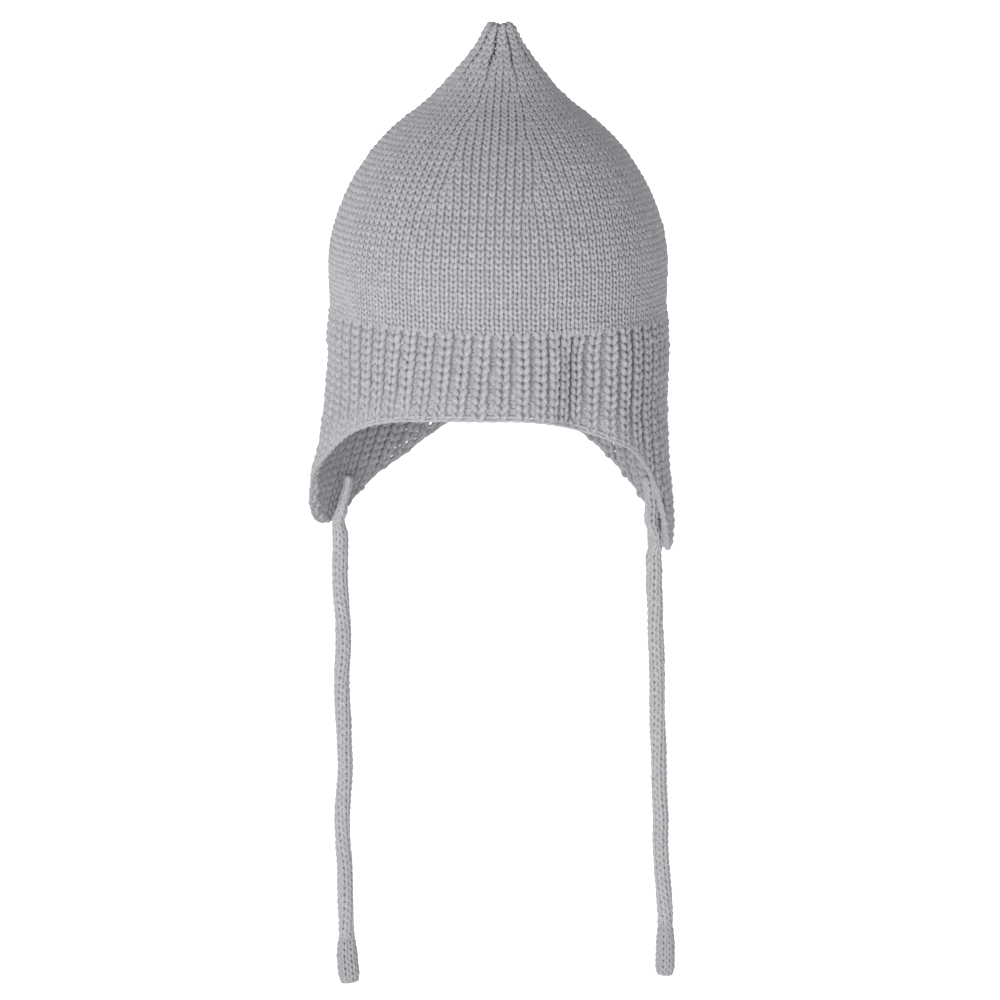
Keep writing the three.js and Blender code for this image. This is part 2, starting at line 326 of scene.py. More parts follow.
def loop_path(stitches, bend, closeness, height, depth, tuck):
    """The yarn's path through one course of plain stitches, as places across, up and outwards.
    Places across count stitches, places up count rows, and places outwards are millimetres. bend
    slants a stitch's legs, closeness draws them together, and tuck sinks their feet."""
    turn = np.tile(2 * np.pi * np.arange(LOOP_SAMPLES) / LOOP_SAMPLES, stitches)
    stitch = np.repeat(np.arange(stitches), LOOP_SAMPLES)
    across = stitch + turn / (2 * np.pi) + bend * np.sin(2 * turn) + closeness * np.sin(turn)
    up = -height * np.cos(turn)
    out = -depth * np.cos(2 * turn) - tuck * np.cos(turn)
    return across, up, out


tie_material = wool_yarn("wool_yarn_ties", "#CDCDD1", 4.0)


def route_in_steps(route, step):
    """A smooth line through a route's points, as points an even step apart."""
    route = np.array(route, float)
    reach = reach_of(route)
    fine = smooth_through(reach, route, np.linspace(0, reach[-1], 2000))
    reach = reach_of(fine)
    even = np.linspace(0, reach[-1], int(round(reach[-1] / step)) + 1)
    return read_line(even, reach, fine), reach[-1]


def cord_frame(line, length, along):
    """Point, sideways and depthways directions of a hanging cord at places along it."""
    reach = np.linspace(0, length, len(line))
    heading = unit(read_line(along + 1, reach, line) - read_line(along - 1, reach, line))
    sideways = unit(np.cross([0, 1, 0], heading))
    depthways = np.cross(heading, sideways)
    beyond = np.maximum(along - length, 0) + np.minimum(along, 0)
    return read_line(along, reach, line) + beyond[:, None] * heading, sideways, depthways


CORE_RINGS = 60
CORE_INSET = 0.35
CORE_END_RADIUS = 0.05


def knit_tie(name, node, route, slimming, drawn_aside, waist, seed):
    """A tie's stitches, worked round and round along its route, over a core that fills it. Where it
    is sewn on, it is slimmer by the share slimming and drawn aside by so many mm. At its waist,
    given by its place, its reach and its shift in mm, it is nipped in and pushed outwards."""
    waist_place, waist_reach, waist_shift = waist
    draw = np.random.default_rng(seed)
    line, length = route_in_steps(route, 1.0)
    rows = int(round(length / TIE_ROW))
    row_height = length / rows
    middle = TIE_DIAMETER / 2 - TIE_YARN / 2 - TIE_INSET
    to_outside = math.copysign(1, route[0][0])
    twist_places = np.linspace(-10, length + 10, TIE_TWIST_PLACES)
    twist_turns = draw.uniform(-TIE_TWIST, TIE_TWIST, TIE_TWIST_PLACES)
    tubes = []
    for row in range(rows + 1):
        across, up, out = loop_path(TIE_STITCHES, *TIE_LOOP)
        along = np.clip((row + up) * row_height, TIE_START, length + TIE_PAST_END)
        turn = 2 * np.pi * across / TIE_STITCHES + smooth_through(twist_places, twist_turns, along)
        point, sideways, depthways = cord_frame(line, length, along)
        outward = np.cos(turn)[:, None] * sideways + np.sin(turn)[:, None] * depthways
        sewn = np.clip((TIE_SEWN_LENGTH - along) / TIE_SEWN_FADE, 0, 1)[:, None]
        nipped = np.exp(-(((along - waist_place) / waist_reach) ** 2))[:, None]
        spread = (1 - slimming * sewn - TIE_NIP * nipped) * np.cos(turn)[:, None] * sideways
        spread = spread + (1 - TIE_SEWN_FLATNESS * sewn) * np.sin(turn)[:, None] * depthways
        uneven = draw.normal(0, TIE_UNEVENNESS, len(turn) // 2).repeat(2)
        centre = point + spread * (middle + out + uneven)[:, None]
        centre[:, 0] += (drawn_aside * sewn + waist_shift * nipped)[:, 0] * to_outside
        radius = np.full(len(turn), TIE_YARN / 2)
        tubes.append(tube_along(centre, outward, radius, True, YARN_SIDES))
    point, sideways, _ = cord_frame(line, length, np.linspace(0, length, CORE_RINGS))
    core = np.full(CORE_RINGS, middle - CORE_INSET)
    core[:CORE_RINGS // 10] *= 0.5
    core[[0, -1]] = CORE_END_RADIUS
    tubes.append(tube_along(point, sideways, core, False, 8))
    piece = yarn_piece(name, tubes, tie_material)
    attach(piece, "root")
    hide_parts(node)


# Tie tabs. Each is a wider knitted tube of eight stitches round, a little flattened, with its foot
# sewn shut. The right one is cut off square and the left one is slimmer and rounded. Their yarn
# lies closer, and its colour is painted a little darker than the ties', as painted shade for the
# gaps between their stitches.
TAB_STITCHES = 8
TAB_ROW = 2.85
TAB_YARN = 1.5
TAB_LOOP = (0.24, 0.04, 0.84, 0.6, 0.15)
TAB_UNEVENNESS = 0.06
TAB_FLATNESS = 0.8
TAB_GAP = 0.3
TAB_INSET = 0.3
# Its first row starts so many rows below its upper end, turned by so many stitches.
TAB_START = 0.3
TAB_TURN = 0.2
# Stitches in the last stretch draw together across the foot, down to the least radius.
TAB_FOOT_STRETCH = 1.1
TAB_FOOT_CLOSING = 0.9
TAB_FOOT_RADIUS = 0.25
TAB_CORE_RINGS = 12
TAB_CORE_ENDS = (0.2, 1.6)
TAB_CORE_INSET = 0.6
TAB_CORE_SHARE = 0.85
TAB_ALONG = [0, 0.13, 0.32, 0.6, 0.83, 0.94, 1]
TAB_RADIUS = [3.3, 4.0, 4.6, 4.8, 4.75, 4.2, 3.1]
TAB_RIGHT_LENGTH = 22.5
TAB_LEFT_LENGTH = 24.5
# The tabs' yarn colour is painted darker than the ties', as painted shade for the gaps between
# their stitches.
tab_material = wool_yarn("wool_yarn_tabs", "#C5C5C9", 4.0)


def knit_tab(name, node, route, length, fullness, foot_radius, foot, bulge, seed):
    """A tab's stitches round its tube, then a few drawn together across its foot. fullness scales
    its outline, foot slants its end and bulge pushes its middle towards +X, both in mm."""
    draw = np.random.default_rng(seed)
    end = np.array(route[-1], float)
    heading = unit(end - np.array(route[-2], float))
    sideways = unit(np.cross([0, 1, 0], heading))
    depthways = np.cross(heading, sideways)
    start = end + TAB_GAP * heading
    rows = int(round(length / TAB_ROW))
    row_height = length / rows
    inset = TAB_YARN / 2 + TAB_INSET
    foot_from = length - TAB_FOOT_STRETCH
    outline = TAB_RADIUS[:-1] + [foot_radius]
    tubes = []
    for row in range(rows + 2):
        across, up, out = loop_path(TAB_STITCHES, *TAB_LOOP)
        along = (row + up + TAB_START) * row_height
        turn = 2 * np.pi * (across + TAB_TURN) / TAB_STITCHES
        share = np.clip(along / length, 0, 1)
        radius = fullness * smooth_through(TAB_ALONG, outline, share) - inset
        over = np.clip(along - foot_from, 0, None)
        radius = np.maximum(radius - over * TAB_FOOT_CLOSING, TAB_FOOT_RADIUS)
        along = np.minimum(along, foot_from)
        outward = np.cos(turn)[:, None] * sideways + np.sin(turn)[:, None] * depthways
        slant = foot * np.cos(turn) * share**3
        ring = np.cos(turn)[:, None] * sideways + TAB_FLATNESS * np.sin(turn)[:, None] * depthways
        uneven = draw.normal(0, TAB_UNEVENNESS, len(turn) // 2).repeat(2)
        centre = start + heading * (along + slant)[:, None] + ring * radius[:, None]
        centre = centre + outward * (out + uneven)[:, None]
        centre[:, 0] += bulge * np.sin(np.pi * share)
        radius = np.full(len(turn), TAB_YARN / 2)
        tubes.append(tube_along(centre, outward + 0.02 * heading, radius, True, YARN_SIDES))
    core_along = np.linspace(TAB_CORE_ENDS[0], length - TAB_CORE_ENDS[1], TAB_CORE_RINGS)
    core = fullness * smooth_through(TAB_ALONG, TAB_RADIUS, core_along / length)
    core = core - inset - TAB_CORE_INSET
    core[[0, -1]] = CORE_END_RADIUS
    core = np.maximum(core, CORE_END_RADIUS) * TAB_CORE_SHARE
    tubes.append(tube_along(start + heading * core_along[:, None],
                            np.broadcast_to(sideways, (TAB_CORE_RINGS, 3)), core, False, 10))
    piece = yarn_piece(name, tubes, tab_material)
    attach(piece, "root")
    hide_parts(node)
    return piece


tab_right = knit_tab("knitted_tab_right", "tie_tab_right", TIE_RIGHT_ROUTE, TAB_RIGHT_LENGTH,
                     0.98, 4.2, 0.3, -0.45, 11)
tab_left = knit_tab("knitted_tab_left", "tie_tab_left", TIE_LEFT_ROUTE, TAB_LEFT_LENGTH,
                    0.86, 3.2, -0.2, 0.15, 12)
knit_tie("knitted_tie_right", "tie_right", TIE_RIGHT_ROUTE,
         0.55, 0.0, (20, 3.5, 1.3), 21)
knit_tie("knitted_tie_left", "tie_left", TIE_LEFT_ROUTE,
         0.0, 1.2, (26.5, 5.0, 2.4), 22)

# Crown. It is plain knitting, worked upwards from the band in rounds of 120 stitches. Ten wedges
# lose a stitch at a time at their edges, until one stitch each is left at the point, where they are
# drawn together. Its outline is its half width at heights over the join.
JOIN_TILT = 1.5
LEVEL_FROM = 36
CROWN_HEIGHT = [
    -4, 5, 15, 25, 35, 45, 55, 65, 73, 80, 87, 94, 100, 105, 109, 113, 116, 118.6, 119.7, 119.5,
    118.8]
CROWN_HALF_WIDTH = [
    71.5, 71.5, 72, 71.5, 69.5, 66, 61, 54.5, 47.5, 39.5, 30.5, 23.5, 18.5, 14.5, 11.5, 9.0, 7.5,
    6.0, 4.3, 2.6, 1.2]
CROWN_DEPTH_RATIO = (
    [1.2] * 4 + [1.19, 1.17, 1.16, 1.14, 1.12, 1.11, 1.1, 1.08, 1.06, 1.04] + [1.0] * 7)
CROWN_YARN = 1.66
WEDGES = 10
WEDGE_STITCHES = 12
WEDGE_ANGLE = 360 / WEDGES
FRONT_WEDGE_ANGLE = 3
DECREASE_HEIGHTS = [48, 56.5, 66, 73, 79.5, 85, 90.5, 96, 100.5, 103.5, 110.5]
# The end of the wedge that loses the stitch: 1 is the wearer's left end and 0 the right one.
DECREASE_ENDS = [1, 0, 0, 1, 0, 0, 1, 0, 1, 0, 1]
# Rounds lie close together near the join and are slacker towards the point. The first lies just
# under the join and the last just short of the outline's end.
FIRST_ROUND = -1.1
LAST_ROUND_SHORT = 1.0
ROUND_PLACES = [0, 16, 29, 47, 64, 83, 105, 123, 130, 138, 144]
ROUND_SPACING = [2.14, 2.2, 2.72, 2.8, 2.66, 2.62, 2.9, 3.1, 3.0, 2.5, 2.4]
# The stitches are short and upright near the join, and slant into clear Vs further up.
LOOP_PLACES = [0, 25, 60, 85]
LOOP_BEND = [0.18, 0.2, 0.24, 0.25]
LOOP_CLOSENESS = [0.0, 0.02, 0.06, 0.08]
LOOP_REACH = [0.7, 0.72, 0.8, 0.84]
LOOP_DEPTH = [0.7, 0.7, 0.62, 0.56]
LOOP_TUCK = [0.0, 0.1, 0.3, 0.38]
# The outline goes down again into the drawn-in point over its last five places. Its rim dips in
# front and behind and between its columns of stitches, and it leans a little to +X.
TIP_PLACES = 5
TIP_FADE = 8
TIP_DIP_FRONT = 0.6
TIP_DIP_BETWEEN = 1.1
TIP_LEAN = 0.7
TIP_LEAN_FROM = 92
TIP_LEAN_FADE = 16
# Near the point each wedge's stitches are drawn together by this share.
GATHER = 0.24
GATHER_FROM = 113
GATHER_FADE = 12
# Where a stitch is lost, the two that meet stay so large a share of a stitch to each side.
MEETING_OFFSET = 0.2
# The loops lie under the outer face. Yarn is thinner where stitches are narrower than usual.
CROWN_SUNK = 1.4
USUAL_STITCH = 3.8
SLIMMING_POWER = 0.6
# Yarn is fuller at its outer bends: its thickness, what its swing adds, and how uneven it is.
CROWN_FULLNESS = (0.92, 0.2, 0.07)
# How unevenly the loops lie: across in stitches, up in rounds, and outwards in mm.
CROWN_UNEVENNESS = (0.035, 0.05, 0.09)
CROWN_FACING_MARGIN = 0.4

crown_meridian = CROWN_HEIGHT[0] + np.concatenate([[0], np.cumsum(np.hypot(
    np.diff(CROWN_HEIGHT), np.diff(CROWN_HALF_WIDTH)))])


def crown_point(angle, meridian):
    """Points on the crown's outer face, by angle from the front and distance up from the join."""
    turn = np.radians(angle)
    meridian = meridian - JOIN_TILT * np.sin(turn) * np.clip(1 - meridian / LEVEL_FROM, 0, 1)
    height = smooth_through(crown_meridian, CROWN_HEIGHT, meridian)
    half_width = smooth_through(crown_meridian, CROWN_HALF_WIDTH, meridian)
    depth_ratio = smooth_through(crown_meridian, CROWN_DEPTH_RATIO, meridian)
    near_tip = np.clip((meridian - crown_meridian[-1 - TIP_PLACES]) / TIP_FADE, 0, 1)
    between = 0.5 + 0.5 * np.cos(WEDGES * (turn - math.radians(FRONT_WEDGE_ANGLE)))
    dip = near_tip * (TIP_DIP_FRONT * np.cos(turn) ** 2 + TIP_DIP_BETWEEN * between**2)
    lean = TIP_LEAN * np.clip((height - TIP_LEAN_FROM) / TIP_LEAN_FADE, 0, 1)
    return np.stack([half_width * np.sin(turn) + lean, -half_width * depth_ratio * np.cos(turn),
                     height - dip], -1)


def facing_of(surface, angle, place):
    """The outward direction of a surface that is given by angle and place."""
    around = surface(angle + 0.4, place) - surface(angle - 0.4, place)
    along = surface(angle, place + 0.3) - surface(angle, place - 0.3)
    return unit(np.cross(around, along))


crown_rounds = [FIRST_ROUND]
while crown_rounds[-1] < crown_meridian[-1] - LAST_ROUND_SHORT:
    spacing = np.interp(crown_rounds[-1], ROUND_PLACES, ROUND_SPACING)
    crown_rounds.append(crown_rounds[-1] + float(spacing))
crown_rounds = np.array(crown_rounds)
round_heights = smooth_through(crown_meridian, CROWN_HEIGHT, crown_rounds)
round_widths = smooth_through(crown_meridian, CROWN_HALF_WIDTH, crown_rounds)
decrease_rounds = {int(np.argmin(abs(round_heights - height))): end
                   for height, end in zip(DECREASE_HEIGHTS, DECREASE_ENDS)}

# Each round's stitches in one wedge: how far each stands from the wedge's middle line, in mm, and
# which stitch of the next round it is drawn up into.
wedge_spans = round_widths * math.radians(WEDGE_ANGLE)
wedge_places = []
wedge_parents = []
columns = np.arange(WEDGE_STITCHES) - (WEDGE_STITCHES - 1) / 2
for place in range(len(crown_rounds)):
    wedge_places.append(columns * wedge_spans[place] / len(columns))
    parents = np.arange(len(columns))
    if place in decrease_rounds:
        if decrease_rounds[place] == 1:
            parents[-1] -= 1
            columns = columns[:-1]
        else:
            parents[1:] -= 1
            columns = columns[1:]
    wedge_parents.append(parents)


def places_below(place):
    """Where the stitches that a round's stitches are drawn out of stand, on average."""
    return np.array([wedge_places[place - 1][wedge_parents[place - 1] == stitch].mean()
                     for stitch in range(len(wedge_places[place]))])


# The fabric settles: each column of stitches straightens, and its stitches keep their distance.
COLUMN_PULL = 0.7
SETTLING_STEPS = 30
for _ in range(SETTLING_STEPS):
    settled = [wedge_places[0]]
    for place in range(1, len(wedge_places) - 1):
        own = wedge_places[place]
        above = wedge_places[place + 1][wedge_parents[place]]
        below = places_below(place)
        left = np.append(own[-1] - wedge_spans[place], own[:-1])
        right = np.append(own[1:], own[0] + wedge_spans[place])
        settled.append(COLUMN_PULL * (above + below) / 2 + (1 - COLUMN_PULL) * (left + right) / 2)
    wedge_places = settled + [wedge_places[-1]]


def whole_round(wedge_values, place):
    """A wedge's places as angles all the way round, with one more stitch at either end. Near the
    point, gaps open between the wedges."""
    gather = 1 - GATHER * np.clip((crown_rounds[place] - GATHER_FROM) / GATHER_FADE, 0, 1)
    local = np.degrees(wedge_values * gather / round_widths[place])
    middles = FRONT_WEDGE_ANGLE + WEDGE_ANGLE * (np.arange(WEDGES) - WEDGES / 2)
    angles = (middles[:, None] + local[None, :]).ravel()
    return np.concatenate([[angles[-1] - 360], angles, [angles[0] + 360]])


def crown_courses(first, last, seed):
    """The tubes of yarn of the crown's rounds from first up to last."""
    draw = np.random.default_rng(seed)
    fullness, swing_fullness, uneven_fullness = CROWN_FULLNESS
    uneven_across, uneven_up, uneven_out = CROWN_UNEVENNESS
    facing_top = crown_meridian[-1] - CROWN_FACING_MARGIN
    tubes = []
    for place in range(first, last):
        own = wedge_places[place]
        parents = wedge_parents[place]
        width = wedge_spans[place] / len(own)
        above = own
        if place + 1 < len(wedge_places):
            above = wedge_places[place + 1][parents]
            shared = np.bincount(parents)[parents] > 1
            if shared.any():
                side = np.where(np.arange(len(own)) == np.flatnonzero(shared)[0], -1, 1)
                above = above + shared * side * MEETING_OFFSET * width
        below = places_below(place) if place > 0 else own
        stitches = WEDGES * len(own)
        bend, closeness, reach, loop_depth, tuck = [
            np.interp(crown_rounds[place], LOOP_PLACES, values)
            for values in (LOOP_BEND, LOOP_CLOSENESS, LOOP_REACH, LOOP_DEPTH, LOOP_TUCK)]
        across, up, out = loop_path(stitches, bend, closeness, reach, loop_depth, tuck)
        knots = np.arange(-0.5, stitches + 1)
        next_place = min(place + 1, len(round_widths) - 1)
        at_level = np.interp(across, knots, whole_round(own, place))
        at_above = np.interp(across, knots, whole_round(above, next_place))
        at_below = np.interp(across, knots, whole_round(below, max(place - 1, 0)))
        angle = between_rows(at_level, at_above, at_below, up)
        uneven = draw.normal(0, 1, (3, stitches))
        knot = np.arange(stitches + 1)
        waver = [np.interp(across, knot, np.append(row, row[0])) for row in uneven]
        angle = angle + waver[0] * uneven_across * math.degrees(width / round_widths[place])
        level = np.interp(place + up + uneven_up * waver[1], np.arange(-1, len(crown_rounds)),
                          np.concatenate([[2 * crown_rounds[0] - crown_rounds[1]], crown_rounds]))
        point = crown_point(angle, level)
        outward = facing_of(crown_point, angle, np.clip(level, CROWN_FACING_MARGIN, facing_top))
        slim = min(1.0, width / USUAL_STITCH) ** SLIMMING_POWER
        fatness = fullness + swing_fullness * out / loop_depth + uneven_fullness * waver[2]
        radius = CROWN_YARN / 2 * slim * fatness
        depth = -CROWN_SUNK * slim + out * slim + uneven_out * waver[2]
        centre = point + outward * depth[:, None]
        tubes.append(tube_along(centre, outward, radius, True, YARN_SIDES))
    return tubes


def fuzz_sheet(points):
    """A thin sheet of the yarn's fuzz, from rows of points: it closes the gaps between stitches."""
    rows, columns = points.shape[:2]
    across = np.arange(columns - 1)
    down = np.arange(rows - 1)[:, None]
    corner = down * columns + across
    faces = np.stack([corner, corner + columns, corner + columns + 1, corner + 1], -1).ravel()
    places = np.stack([np.zeros(rows * columns), points.reshape(-1, 3) @ [0.7, 0.4, 1.0]], -1)
    return points.reshape(-1, 3), faces, np.full(faces.size // 4, 4), places[faces]


crown_material = wool_yarn("wool_yarn_crown", "#CBCBD1", 4.0)
# The crown's fuzz lies under its stitches, from the join up to where they are drawn together.
CROWN_FUZZ_DEPTH = 1.5
CROWN_FUZZ_FROM = 0.4
CROWN_FUZZ_SHORT = 24
CROWN_SPLITS = [0, 15, 30, len(crown_rounds)]
FIRST_CROWN_SEED = 31
for number, part in enumerate(("lower", "middle", "upper")):
    first, following = CROWN_SPLITS[number:number + 2]
    knitted = crown_courses(first, following, FIRST_CROWN_SEED + number)
    last_round = min(following, len(crown_rounds) - 1)
    fuzz_levels = np.linspace(crown_rounds[first], crown_rounds[last_round], 16)
    fuzz_levels = np.clip(fuzz_levels, CROWN_FUZZ_FROM, crown_meridian[-1] - CROWN_FUZZ_SHORT)[::-1]
    fuzz_angles, fuzz_levels = np.meshgrid(np.linspace(-180, 180, 121), fuzz_levels)
    fuzz_out = facing_of(crown_point, fuzz_angles, fuzz_levels)
    knitted.append(fuzz_sheet(crown_point(fuzz_angles, fuzz_levels) - CROWN_FUZZ_DEPTH * fuzz_out))
    crown_piece = yarn_piece("knitted_crown_" + part, knitted, crown_material)
    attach(crown_piece, "root")
    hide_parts("crown")

# Ribbed band and ear flaps. Fifty-eight upright ribs of one knitted and one purled stitch run down
# from the join without a seam, over the brow and back for a short way and at both sides to the
# foot of a flap. A crease in front, to the wearer's left, crowds a few ribs together.
RIBS = 58
RIB_ROW = 3.4
RIB_YARN = 3.05
RIB_LOOP_DEPTH = 0.78
RIB_SAMPLES = 12
# A stitch's legs slant and close up, and it reaches up and down so many rows.
RIB_BEND = 0.25
RIB_CLOSENESS = 0.05
KNIT_REACH = 0.6
PURL_REACH = 0.72
# Yarn is fullest half way up a stitch, and thinner where the ribs are flat.
RIB_FULLNESS = (0.74, 0.26)
FLAT_THINNESS = 0.4
# How unevenly the loops lie: up in mm, across in degrees, in thickness, and outwards in mm.
RIB_UNEVENNESS = (0.12, 0.1, 0.06, 0.1)
# The yarn's middle lies so far under the outer face, and so far where the ribs are flat.
RIB_MIDDLE = 2.3
FLAT_MIDDLE = 1.5
# How much deeper the furrows' stitches lie: all round, and besides at the sides and behind.
PURL_SUNK = 0.7
PURL_SUNK_BEHIND = 0.6
BAND_HEIGHT = [-108, -98, -88, -78, -68, -58, -48, -36, -24, -12, -5, 4]
BAND_RIGHT = [88.4, 87.2, 85.6, 82.3, 79.8, 77, 75.5, 74, 73, 73, 72.5, 71.5]
BAND_LEFT = [74, 75, 75, 74, 73, 72.5, 72, 72, 72.5, 72.5, 72, 70.5]
BAND_HALF_DEPTH = 85.8
CREASE_ANGLE = 27
CREASE_HALF_ANGLE = 8
CREASE_CROWDING = 0.33
# The angles of the crease's inner edge, its bottom and its outer edge.
CREASE_EDGES = [23, 36, 52]
CREASE_DEPTH = 5.0
CREASE_FADE = 16
# The lower edge's height at angles from the front, negative towards the wearer's right.
HEM_ANGLE = [
    -180, -165, -156, -147, -139, -133, -128, -121, -114, -108, -102, -97, -91, -82, -75, -68, -60,
    -52, -43, -33, -17, 0, 18, 28, 38, 49, 58, 65, 72, 77, 81, 86, 94, 102, 107, 113, 120, 128, 133,
    139, 146, 154, 163, 172, 180]
HEM_HEIGHT = [
    -56, -58, -62.5, -70, -77.5, -81.7, -87.4, -95.5, -100.8, -100.6, -96, -88, -80.5, -74, -68.7,
    -62.8, -56.2, -50, -44.8, -41.2, -38.8, -38, -38.6, -40.7, -44.5, -50, -55.2, -62.4, -71.6,
    -82.8, -93.5, -102, -105.5, -105.5, -103.8, -100.3, -97, -92, -87.3, -81.5, -75, -68.3, -62,
    -57.5, -56]


def rib_angle(rib):
    """The angle of a rib's crest. Halves are the furrows between ribs."""
    def squeeze(angle):
        reach = np.tanh((angle - CREASE_ANGLE) / CREASE_HALF_ANGLE)
        return angle - CREASE_CROWDING * CREASE_HALF_ANGLE * reach
    low = squeeze(-180)
    high = squeeze(180)
    return -180 + 360 * (squeeze(360 * rib / RIBS - 180) - low) / (high - low)


def wrapped(angle):
    """The same angle between -180 and 180."""
    return (angle + 180) % 360 - 180


def hem_height(angle):
    """The lower edge's height at an angle."""
    return smooth_through(HEM_ANGLE, HEM_HEIGHT, wrapped(angle))


def band_point(angle, height):
    """Points on the band's outer face, by angle from the front and height."""
    turn = np.radians(angle)
    left_share = (1 + np.sin(turn)) / 2
    half_width = (1 - left_share) * smooth_through(BAND_HEIGHT, BAND_RIGHT, height)
    half_width = half_width + left_share * smooth_through(BAND_HEIGHT, BAND_LEFT, height)
    fade = np.clip((2 - height) / CREASE_FADE, 0, 1)
    fall = np.interp(wrapped(angle), CREASE_EDGES, [0, 1, 0])
    sunk = CREASE_DEPTH * eased(fall) * eased(fade)
    return np.stack([(half_width - sunk) * np.sin(turn),
                     -(BAND_HALF_DEPTH - sunk) * np.cos(turn), height + 0 * turn], -1)


# Further down, the ribs over the brow lean more towards the wearer's right, by up to so many
# degrees between the two middle angles. Those of each flap draw together towards its foot's angle,
# by up to so large a share of their distance from it where that is short.
BROW_LEAN = -3.4
BROW_ANGLES = [-50, -25, 0, 14]
BROW_HEIGHTS = [-47, -4]
FLAP_FEET = ((-104, 0.34), (96, 0.22))
FLAP_DISTANCES = [32, 62]
FLAP_HEIGHTS = [-100, -42]


def lean_of(angle, height):
    """How far the ribs lean at an angle and a height, in degrees."""
    angle = wrapped(angle)
    lean = BROW_LEAN * np.interp(angle, BROW_ANGLES, [0, 1, 1, 0])
    lean = lean * np.interp(height, BROW_HEIGHTS, [1, 0])
    for foot_angle, closing in FLAP_FEET:
        off = foot_angle - angle
        near = np.interp(abs(off), FLAP_DISTANCES, [1, 0])
        lean = lean + closing * off * near * np.interp(height, FLAP_HEIGHTS, [1, 0])
    return lean


rib_stitches = 2 * RIBS
stitch_angles = rib_angle(np.arange(rib_stitches) / 2)
# A leaning rib meets the hem at another angle than it starts from, which is found in a few steps.
stitch_feet = stitch_angles
for _ in range(8):
    stitch_feet = stitch_angles + lean_of(stitch_angles, hem_height(stitch_feet))
stitch_hems = hem_height(stitch_feet)
FIRST_RIB_ROW = 2.4
LAST_ROW_OVER_HEM = 3.0
YARN_OVER_HEM = 1.5
CROWDED_ROWS = 6
first_rows = -FIRST_RIB_ROW - JOIN_TILT * np.sin(np.radians(stitch_angles))
stitch_rows = np.round((first_rows - stitch_hems - LAST_ROW_OVER_HEM) / RIB_ROW).astype(int) + 1


def row_heights(row):
    """The height of a row at every stitch. Rows meet the hem by crowding a little over it."""
    plain = first_rows - RIB_ROW * row
    last = stitch_rows - 1
    spare = stitch_hems + LAST_ROW_OVER_HEM - first_rows + RIB_ROW * last
    share = np.clip((row - (last - CROWDED_ROWS)) / CROWDED_ROWS, 0, 1)
    return plain + spare * eased(share)


# How flat the ribs end at the hem: a little over the brow, much at the flaps' front edges, not at
# all at the feet of the flaps, and half behind.
HEM_FLATNESS_ANGLE = [-180, -125, -112, -92, -60, -38, 0, 34, 56, 82, 92, 104, 125, 180]
HEM_FLATNESS = [0.5, 0.5, 0.0, 0.1, 0.85, 0.55, 0.35, 0.55, 0.85, 0.8, 0.1, 0.0, 0.5, 0.5]
FLAT_ROWS = 4
stitch_flatness = np.interp(wrapped(stitch_feet), HEM_FLATNESS_ANGLE, HEM_FLATNESS)


def flatness(row):
    """How deep the ribs stand at every stitch of a row. They grow flat towards the hem."""
    return 1 - stitch_flatness * np.clip((FLAT_ROWS - stitch_rows + 1 + row) / FLAT_ROWS, 0, 1)


def read_row(row_values, within):
    """A row's values, one for every stitch, read at places across it in stitches."""
    knots = np.arange(-1, rib_stitches + 1) + 0.5
    return np.interp(within, knots, np.concatenate([row_values[-1:], row_values, row_values[:1]]))


def rib_strand(stitches, row, closed, draw):
    """One row's yarn over a run of stitches, knitted on the crests and purled in the furrows."""
    turn = np.tile(2 * np.pi * np.arange(RIB_SAMPLES) / RIB_SAMPLES, len(stitches))
    stitch = np.repeat(stitches, RIB_SAMPLES)
    if not closed:
        turn = turn[1:]
        stitch = stitch[1:]
    across = stitch + 0.5 - 0.5 * np.cos(turn / 2) - RIB_CLOSENESS * np.sin(turn)
    across = across + RIB_BEND * np.sin(2 * turn)
    face = np.where(stitch % 2 == 0, 1, -1)
    up = -np.where(face > 0, KNIT_REACH, PURL_REACH) * np.cos(turn)
    within = across % rib_stitches
    angle = rib_angle((across - 0.5) / 2)
    # Furrows lie deeper at the sides and behind, and the relief is fuller at the wearer's left.
    side = np.sin(np.radians(angle))
    sunk = PURL_SUNK + PURL_SUNK_BEHIND * np.clip(0.4 - 1.6 * np.cos(np.radians(angle)), 0, 1)
    out = face * RIB_LOOP_DEPTH * (1 - np.cos(2 * turn))
    out = (out - sunk * (face < 0) * np.sin(turn / 2) ** 2) * (1 - 0.3 * side**2 + 0.2 * side)
    flat = read_row(flatness(row), within)
    here, over, under = [read_row(row_heights(row + step), within) for step in (0, -1, 1)]
    height = between_rows(here, over, under, up)
    uneven = draw.normal(0, 1, (3, len(stitches) + 1))
    if closed:
        uneven[:, -1] = uneven[:, 0]
    run = np.arange(len(stitches) + 1) + stitches[0]
    waver = [np.interp(across, run, values) for values in uneven]
    uneven_up, uneven_across, uneven_fullness, uneven_out = RIB_UNEVENNESS
    height = height + uneven_up * waver[0]
    angle = angle + lean_of(angle, height) + uneven_across * waver[1]
    height = np.maximum(height, hem_height(angle) + YARN_OVER_HEM)
    point = band_point(angle, height)
    outward = facing_of(band_point, angle, height)
    fatness = RIB_FULLNESS[0] - RIB_FULLNESS[1] * np.cos(2 * turn) + uneven_fullness * waver[2]
    radius = RIB_YARN / 2 * fatness * (1 - FLAT_THINNESS + FLAT_THINNESS * flat)
    if not closed:
        # The yarn tapers where it turns back at a run's two ends.
        radius[[0, -1]] *= 0.4
        radius[[1, -2]] *= 0.8
    depth = (out - RIB_MIDDLE + FLAT_MIDDLE) * flat - FLAT_MIDDLE + uneven_out * waver[2]
    return tube_along(point + outward * depth[:, None], outward, radius, closed, YARN_SIDES)


